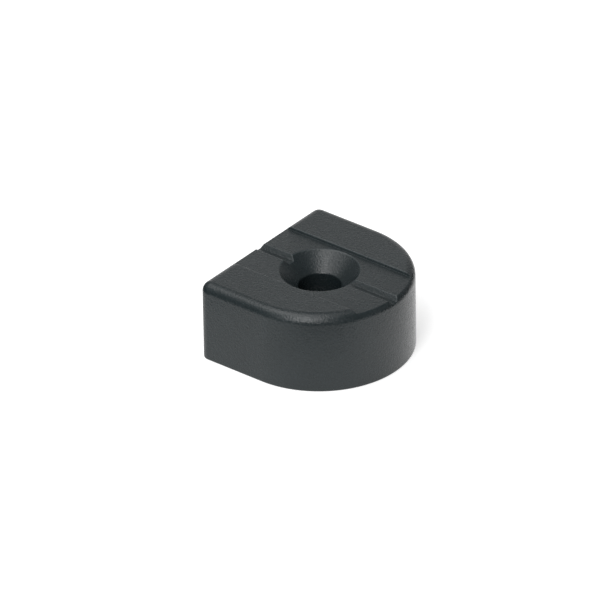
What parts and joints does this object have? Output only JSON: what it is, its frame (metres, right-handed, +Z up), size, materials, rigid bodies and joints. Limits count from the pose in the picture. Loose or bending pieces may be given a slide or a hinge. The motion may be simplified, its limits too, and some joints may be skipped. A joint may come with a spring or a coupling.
{
  "type": "profile end cap",
  "caption": "Moulded plastic end cap with a half-round nose, a rear socket for a flat bar, a countersunk screw hole, a grooved top and a hollowed, ribbed underside.",
  "frame": {"origin": "middle of the base, under the centre of the cap's box", "axes": "+X from the flat back face, where the bar enters, to the middle of the round nose; +Z up from the base to the grooved top; the cap is the same on both sides of Y = 0"},
  "size_m": [0.0222, 0.0244, 0.0111],
  "materials": {
    "moulded_plastic": "matt charcoal black with a fine spark-eroded grain"
  },
  "bodies": {
    "root": {"end_cap": "moulded_plastic"}
  },
  "joints": []
}
